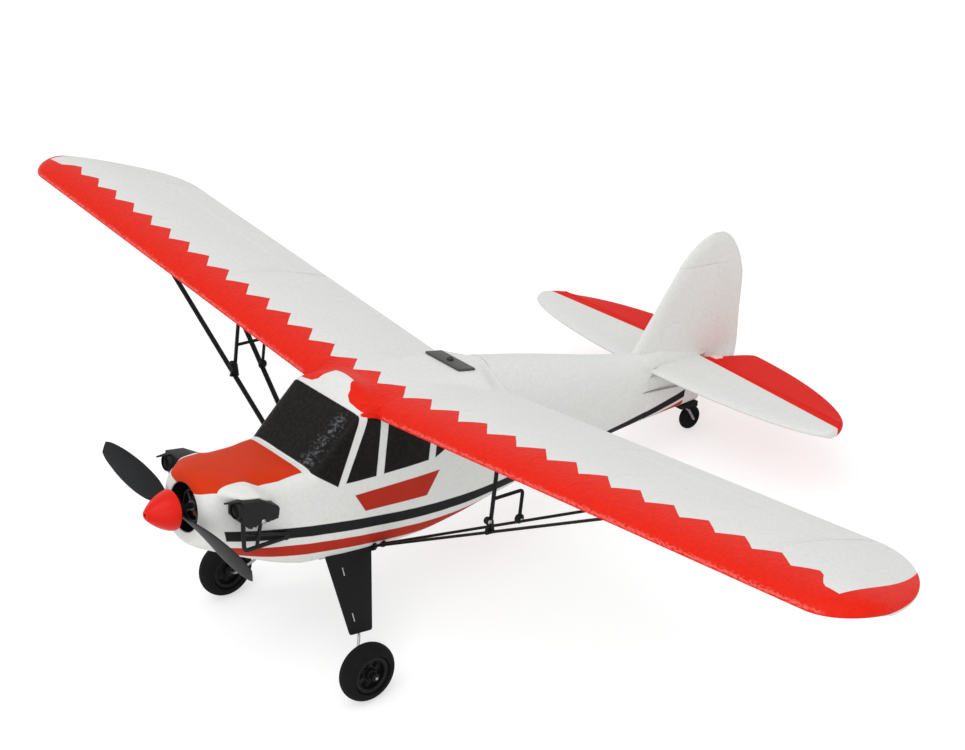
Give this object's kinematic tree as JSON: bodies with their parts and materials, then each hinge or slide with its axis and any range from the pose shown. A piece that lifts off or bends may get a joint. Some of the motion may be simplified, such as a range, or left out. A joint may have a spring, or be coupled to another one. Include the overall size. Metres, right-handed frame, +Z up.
{
  "type": "radio-controlled aeroplane",
  "caption": "High-wing foam radio-controlled aeroplane with struts, fixed wheels, a spinning propeller and moving rudder, elevators and ailerons.",
  "frame": {"origin": "centre of the bounding box's base, on the floor under the model as it stands on its three wheels", "axes": "+X towards the left wing tip, +Y towards the tail, +Z up; the nose points along -Y and is pitched up"},
  "size_m": [1.0996, 0.665, 0.258],
  "materials": {
    "foam": "expanded foam beads",
    "red_foam": "foam under a red printed film",
    "black_plastic": "moulded plastic",
    "white_plastic": "moulded plastic",
    "prop_plastic": "satin moulded blades",
    "red_plastic": "polished",
    "tyre_rubber": "soft foam rubber",
    "steel_wire": "drawn wire",
    "motor_metal": "anodised",
    "copper_windings": "enamelled wire",
    "plywood": "light plywood",
    "servo_case": "tinted case",
    "battery_wrap": "shrink wrap",
    "circuit": "board in a sleeve"
  },
  "bodies": {
    "airframe": {"fuselage_left_half": "foam", "fuselage_right_half": "foam", "wing": "foam", "wing_plate": "black_plastic", "wing_screw": "steel_wire", "stabilizer": "foam", "fin": "foam", "strut_front_left": "black_plastic", "strut_front_right": "black_plastic", "strut_rear_left": "black_plastic", "strut_rear_right": "black_plastic", "jury_strut_left": "black_plastic", "jury_strut_right": "black_plastic", "gear_fairing_left": "black_plastic", "gear_fairing_right": "black_plastic", "wheel_collar_left": "steel_wire", "wheel_collar_right": "steel_wire", "dummy_engine_left": "black_plastic", "dummy_engine_right": "black_plastic", "exhaust_left": "black_plastic", "exhaust_right": "black_plastic", "aileron_servo_left": "servo_case", "aileron_servo_right": "servo_case", "belly_plate": "black_plastic", "gear_wire": "steel_wire", "tail_wheel_bracket": "black_plastic", "motor_mount": "plywood", "motor_stator": "copper_windings", "battery": "battery_wrap", "control_board": "circuit", "servo_tray": "plywood", "rudder_servo": "servo_case", "elevator_servo": "servo_case"},
    "power_train": {"motor_bell": "motor_metal", "propeller": "prop_plastic", "spinner": "red_plastic"},
    "wheel_left": {"tyre_left": "tyre_rubber", "hub_left": "black_plastic"},
    "wheel_right": {"tyre_right": "tyre_rubber", "hub_right": "black_plastic"},
    "tail_leg": {"tail_wheel_leg": "steel_wire"},
    "tail_roller": {"tail_wheel": "tyre_rubber"},
    "rudder": {"rudder": "foam", "rudder_horn": "white_plastic"},
    "elevator": {"elevator_left": "red_foam", "elevator_right": "red_foam", "elevator_joiner": "steel_wire", "elevator_horn": "white_plastic"},
    "rudder_arm": {"rudder_arm": "white_plastic"},
    "elevator_arm": {"elevator_arm": "white_plastic"},
    "rudder_rod": {"rudder_pushrod": "steel_wire"},
    "elevator_rod": {"elevator_pushrod": "steel_wire"},
    "aileron_left": {"aileron_left": "foam", "aileron_horn_left": "white_plastic"},
    "aileron_arm_left": {"aileron_arm_left": "white_plastic"},
    "aileron_rod_left": {"aileron_rod_left": "steel_wire"},
    "aileron_right": {"aileron_right": "foam", "aileron_horn_right": "white_plastic"},
    "aileron_arm_right": {"aileron_arm_right": "white_plastic"},
    "aileron_rod_right": {"aileron_rod_right": "steel_wire"}
  },
  "joints": [
    {"name": "propeller_spin", "type": "hinge", "parent": "airframe", "child": "power_train", "pos_m": [0, -0.15247, 0.14282], "axis": [0, 0.9664, -0.2572], "continuous": true},
    {"name": "wheel_left_spin", "type": "hinge", "parent": "airframe", "child": "wheel_left", "pos_m": [0.106, -0.21512, 0.026], "axis": [1, 0, 0], "continuous": true},
    {"name": "wheel_right_spin", "type": "hinge", "parent": "airframe", "child": "wheel_right", "pos_m": [-0.106, -0.21512, 0.026], "axis": [1, 0, 0], "continuous": true},
    {"name": "rudder_hinge", "type": "hinge", "parent": "airframe", "child": "rudder", "pos_m": [0, 0.28342, 0.09511], "axis": [0, 0.2572, 0.9664], "range_deg": [-20, 20]},
    {"name": "elevator_hinge", "type": "hinge", "parent": "airframe", "child": "elevator", "pos_m": [0, 0.26491, 0.07417], "axis": [1, 0, 0], "range_deg": [-20, 20]},
    {"name": "tail_wheel_steer", "type": "hinge", "parent": "airframe", "child": "tail_leg", "pos_m": [0, 0.24436, 0.01444], "axis": [0, 0.2572, 0.9664], "range_deg": [-20, 20]},
    {"name": "tail_wheel_spin", "type": "hinge", "parent": "tail_leg", "child": "tail_roller", "pos_m": [0, 0.25354, 0.012], "axis": [1, 0, 0], "continuous": true},
    {"name": "rudder_arm_turn", "type": "hinge", "parent": "airframe", "child": "rudder_arm", "pos_m": [-0.026, -0.06749, 0.14328], "axis": [0, 0.2572, 0.9664], "range_deg": [-27.27, 27.27]},
    {"name": "rudder_rod_slide", "type": "slide", "parent": "airframe", "child": "rudder_rod", "axis": [0, 0.9664, -0.2572], "range_m": [-0.00524, 0.00524]},
    {"name": "elevator_arm_turn", "type": "hinge", "parent": "airframe", "child": "elevator_arm", "pos_m": [0.026, -0.06749, 0.14328], "axis": [0, 0.2572, 0.9664], "range_deg": [-34, 34]},
    {"name": "elevator_rod_slide", "type": "slide", "parent": "airframe", "child": "elevator_rod", "axis": [0, 0.9664, -0.2572], "range_m": [-0.00653, 0.00653]},
    {"name": "aileron_left_hinge", "type": "hinge", "parent": "airframe", "child": "aileron_left", "pos_m": [0.22683, -0.02522, 0.1991], "axis": [0.996, 0.0231, 0.0867], "range_deg": [-20, 20]},
    {"name": "aileron_arm_left_turn", "type": "hinge", "parent": "airframe", "child": "aileron_arm_left", "pos_m": [0.24586, -0.07108, 0.2037], "axis": [0.996, 0.0231, 0.0867], "range_deg": [-40.06, 40.06]},
    {"name": "aileron_rod_left_slide", "type": "slide", "parent": "airframe", "child": "aileron_rod_left", "axis": [0, 0.9664, -0.2572], "range_m": [-0.00629, 0.00629]},
    {"name": "aileron_right_hinge", "type": "hinge", "parent": "airframe", "child": "aileron_right", "pos_m": [-0.22683, -0.02522, 0.1991], "axis": [0.996, -0.0231, -0.0867], "range_deg": [-20, 20]},
    {"name": "aileron_arm_right_turn", "type": "hinge", "parent": "airframe", "child": "aileron_arm_right", "pos_m": [-0.24586, -0.07108, 0.2037], "axis": [0.996, -0.0231, -0.0867], "range_deg": [-40.06, 40.06]},
    {"name": "aileron_rod_right_slide", "type": "slide", "parent": "airframe", "child": "aileron_rod_right", "axis": [0, 0.9664, -0.2572], "range_m": [-0.00629, 0.00629]}
  ],
  "couplings": [
    {"joint": "tail_wheel_steer", "follows": "rudder_hinge", "ratio": 1},
    {"joint": "rudder_arm_turn", "follows": "rudder_hinge", "ratio": -1.3636},
    {"joint": "rudder_rod_slide", "follows": "rudder_hinge", "m_per_rad": -0.015},
    {"joint": "elevator_arm_turn", "follows": "elevator_hinge", "ratio": -1.7},
    {"joint": "elevator_rod_slide", "follows": "elevator_hinge", "m_per_rad": 0.0187},
    {"joint": "aileron_arm_left_turn", "follows": "aileron_left_hinge", "ratio": 2.0032},
    {"joint": "aileron_rod_left_slide", "follows": "aileron_left_hinge", "m_per_rad": 0.018029},
    {"joint": "aileron_right_hinge", "follows": "aileron_left_hinge", "ratio": -1},
    {"joint": "aileron_arm_right_turn", "follows": "aileron_left_hinge", "ratio": -2.0032},
    {"joint": "aileron_rod_right_slide", "follows": "aileron_left_hinge", "m_per_rad": -0.018029}
  ]
}
